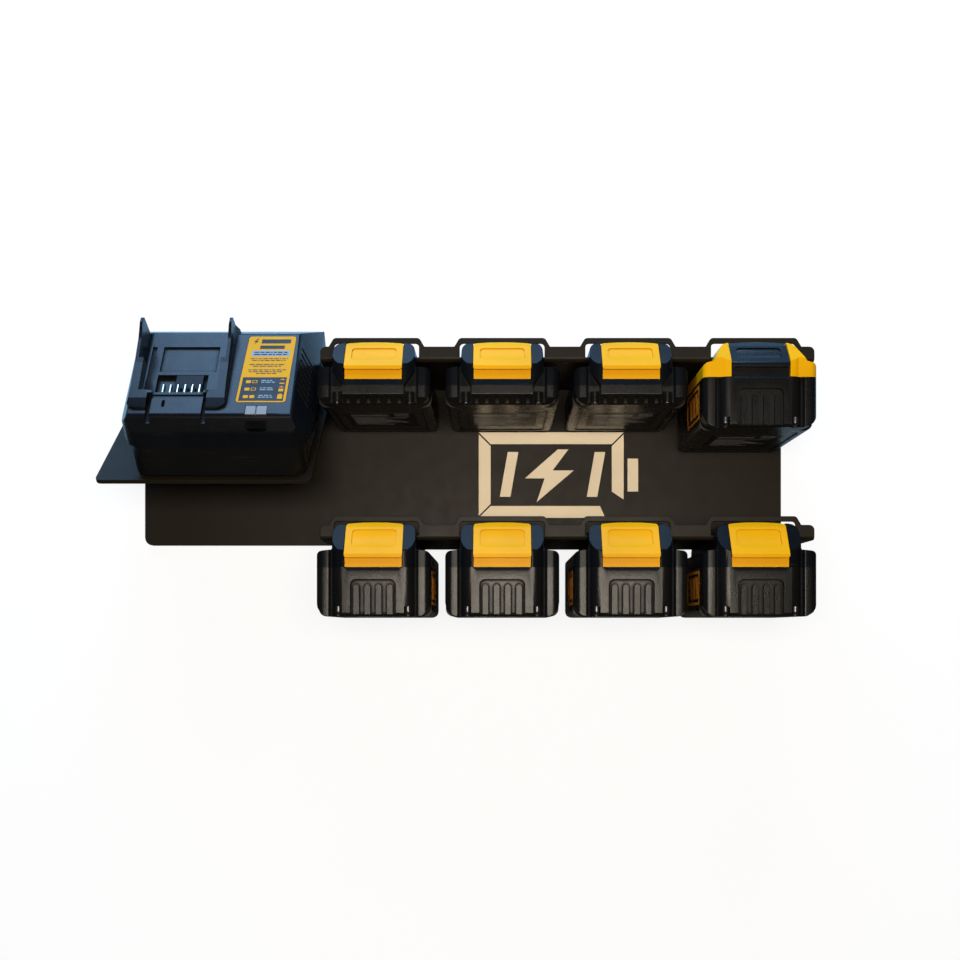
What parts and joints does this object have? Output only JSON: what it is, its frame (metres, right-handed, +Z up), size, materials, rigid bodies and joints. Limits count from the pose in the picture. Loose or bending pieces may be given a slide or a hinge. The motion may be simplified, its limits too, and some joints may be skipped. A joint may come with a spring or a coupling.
{
  "type": "battery charging station",
  "caption": "Wall-hung folded steel rack with a sloping tray that carries a battery charger and two rails of bays that hold slide-in power tool battery packs.",
  "frame": {"origin": "on the wall face, at the middle of the back panel", "axes": "+Z up, +X to the viewer's right along the rails, -Y out of the wall towards the viewer"},
  "size_m": [0.483, 0.1381, 0.203],
  "materials": {
    "rack_steel": "fine matt black powder coat",
    "black_plastic": "finely grained black nylon",
    "yellow_plastic": "satin yellow moulded plastic",
    "black_button": "satin black moulded plastic",
    "spring_steel": "bright wire",
    "cell_wrap": "shrink wrap",
    "board": "solder mask",
    "blade_metal": "tinned brass",
    "lens": "smoked clear plastic",
    "core": "varnished core",
    "zinc": "zinc plated"
  },
  "bodies": {
    "station": {"back_panel": "rack_steel", "upper_rail": "rack_steel", "lower_rail": "rack_steel", "charger_tray": "rack_steel", "charger_screws": "zinc", "charger_base": "black_plastic", "charger_cover": "black_plastic", "contact_block": "black_plastic", "contact_blades": "blade_metal", "status_lens": "lens", "circuit_board": "board", "transformer": "core"},
    "upper1_pack": {"upper1_top_housing": "black_plastic", "upper1_bottom_housing": "black_plastic", "upper1_spring": "spring_steel", "upper1_cells": "cell_wrap", "upper1_terminals": "board"},
    "upper1_release": {"upper1_button": "yellow_plastic"},
    "upper2_pack": {"upper2_top_housing": "black_plastic", "upper2_bottom_housing": "black_plastic", "upper2_spring": "spring_steel", "upper2_cells": "cell_wrap", "upper2_terminals": "board"},
    "upper2_release": {"upper2_button": "yellow_plastic"},
    "upper3_pack": {"upper3_top_housing": "black_plastic", "upper3_bottom_housing": "black_plastic", "upper3_spring": "spring_steel", "upper3_cells": "cell_wrap", "upper3_terminals": "board"},
    "upper3_release": {"upper3_button": "yellow_plastic"},
    "upper4_pack": {"upper4_top_housing": "yellow_plastic", "upper4_bottom_housing": "black_plastic", "upper4_spring": "spring_steel", "upper4_cells": "cell_wrap", "upper4_terminals": "board"},
    "upper4_release": {"upper4_button": "black_button"},
    "lower1_pack": {"lower1_top_housing": "black_plastic", "lower1_bottom_housing": "black_plastic", "lower1_spring": "spring_steel", "lower1_cells": "cell_wrap", "lower1_terminals": "board"},
    "lower1_release": {"lower1_button": "yellow_plastic"},
    "lower2_pack": {"lower2_top_housing": "black_plastic", "lower2_bottom_housing": "black_plastic", "lower2_spring": "spring_steel", "lower2_cells": "cell_wrap", "lower2_terminals": "board"},
    "lower2_release": {"lower2_button": "yellow_plastic"},
    "lower3_pack": {"lower3_top_housing": "black_plastic", "lower3_bottom_housing": "black_plastic", "lower3_spring": "spring_steel", "lower3_cells": "cell_wrap", "lower3_terminals": "board"},
    "lower3_release": {"lower3_button": "yellow_plastic"},
    "lower4_pack": {"lower4_top_housing": "black_plastic", "lower4_bottom_housing": "black_plastic", "lower4_spring": "spring_steel", "lower4_cells": "cell_wrap", "lower4_terminals": "board"},
    "lower4_release": {"lower4_button": "yellow_plastic"}
  },
  "joints": [
    {"name": "upper1_slide", "type": "slide", "parent": "station", "child": "upper1_pack", "axis": [0, -1, 0], "range_m": [0, 0.115]},
    {"name": "upper1_press", "type": "slide", "parent": "upper1_pack", "child": "upper1_release", "axis": [0, 0, -1], "range_m": [0, 0.0032], "stiffness_N_per_m": 1200, "springref_m": -0.0025, "deforming": ["upper1_spring"]},
    {"name": "upper2_slide", "type": "slide", "parent": "station", "child": "upper2_pack", "axis": [0, -1, 0], "range_m": [0, 0.115]},
    {"name": "upper2_press", "type": "slide", "parent": "upper2_pack", "child": "upper2_release", "axis": [0, 0, -1], "range_m": [0, 0.0032], "stiffness_N_per_m": 1200, "springref_m": -0.0025, "deforming": ["upper2_spring"]},
    {"name": "upper3_slide", "type": "slide", "parent": "station", "child": "upper3_pack", "axis": [0, -1, 0], "range_m": [0, 0.115]},
    {"name": "upper3_press", "type": "slide", "parent": "upper3_pack", "child": "upper3_release", "axis": [0, 0, -1], "range_m": [0, 0.0032], "stiffness_N_per_m": 1200, "springref_m": -0.0025, "deforming": ["upper3_spring"]},
    {"name": "upper4_slide", "type": "slide", "parent": "station", "child": "upper4_pack", "axis": [0, -1, 0], "range_m": [0, 0.115]},
    {"name": "upper4_press", "type": "slide", "parent": "upper4_pack", "child": "upper4_release", "axis": [0, 0, -1], "range_m": [0, 0.0032], "stiffness_N_per_m": 1200, "springref_m": -0.0025, "deforming": ["upper4_spring"]},
    {"name": "lower1_slide", "type": "slide", "parent": "station", "child": "lower1_pack", "axis": [0, -1, 0], "range_m": [0, 0.115]},
    {"name": "lower1_press", "type": "slide", "parent": "lower1_pack", "child": "lower1_release", "axis": [0, 0, -1], "range_m": [0, 0.0032], "stiffness_N_per_m": 1200, "springref_m": -0.0025, "deforming": ["lower1_spring"]},
    {"name": "lower2_slide", "type": "slide", "parent": "station", "child": "lower2_pack", "axis": [0, -1, 0], "range_m": [0, 0.115]},
    {"name": "lower2_press", "type": "slide", "parent": "lower2_pack", "child": "lower2_release", "axis": [0, 0, -1], "range_m": [0, 0.0032], "stiffness_N_per_m": 1200, "springref_m": -0.0025, "deforming": ["lower2_spring"]},
    {"name": "lower3_slide", "type": "slide", "parent": "station", "child": "lower3_pack", "axis": [0, -1, 0], "range_m": [0, 0.115]},
    {"name": "lower3_press", "type": "slide", "parent": "lower3_pack", "child": "lower3_release", "axis": [0, 0, -1], "range_m": [0, 0.0032], "stiffness_N_per_m": 1200, "springref_m": -0.0025, "deforming": ["lower3_spring"]},
    {"name": "lower4_slide", "type": "slide", "parent": "station", "child": "lower4_pack", "axis": [0, -1, 0], "range_m": [0, 0.115]},
    {"name": "lower4_press", "type": "slide", "parent": "lower4_pack", "child": "lower4_release", "axis": [0, 0, -1], "range_m": [0, 0.0032], "stiffness_N_per_m": 1200, "springref_m": -0.0025, "deforming": ["lower4_spring"]}
  ]
}
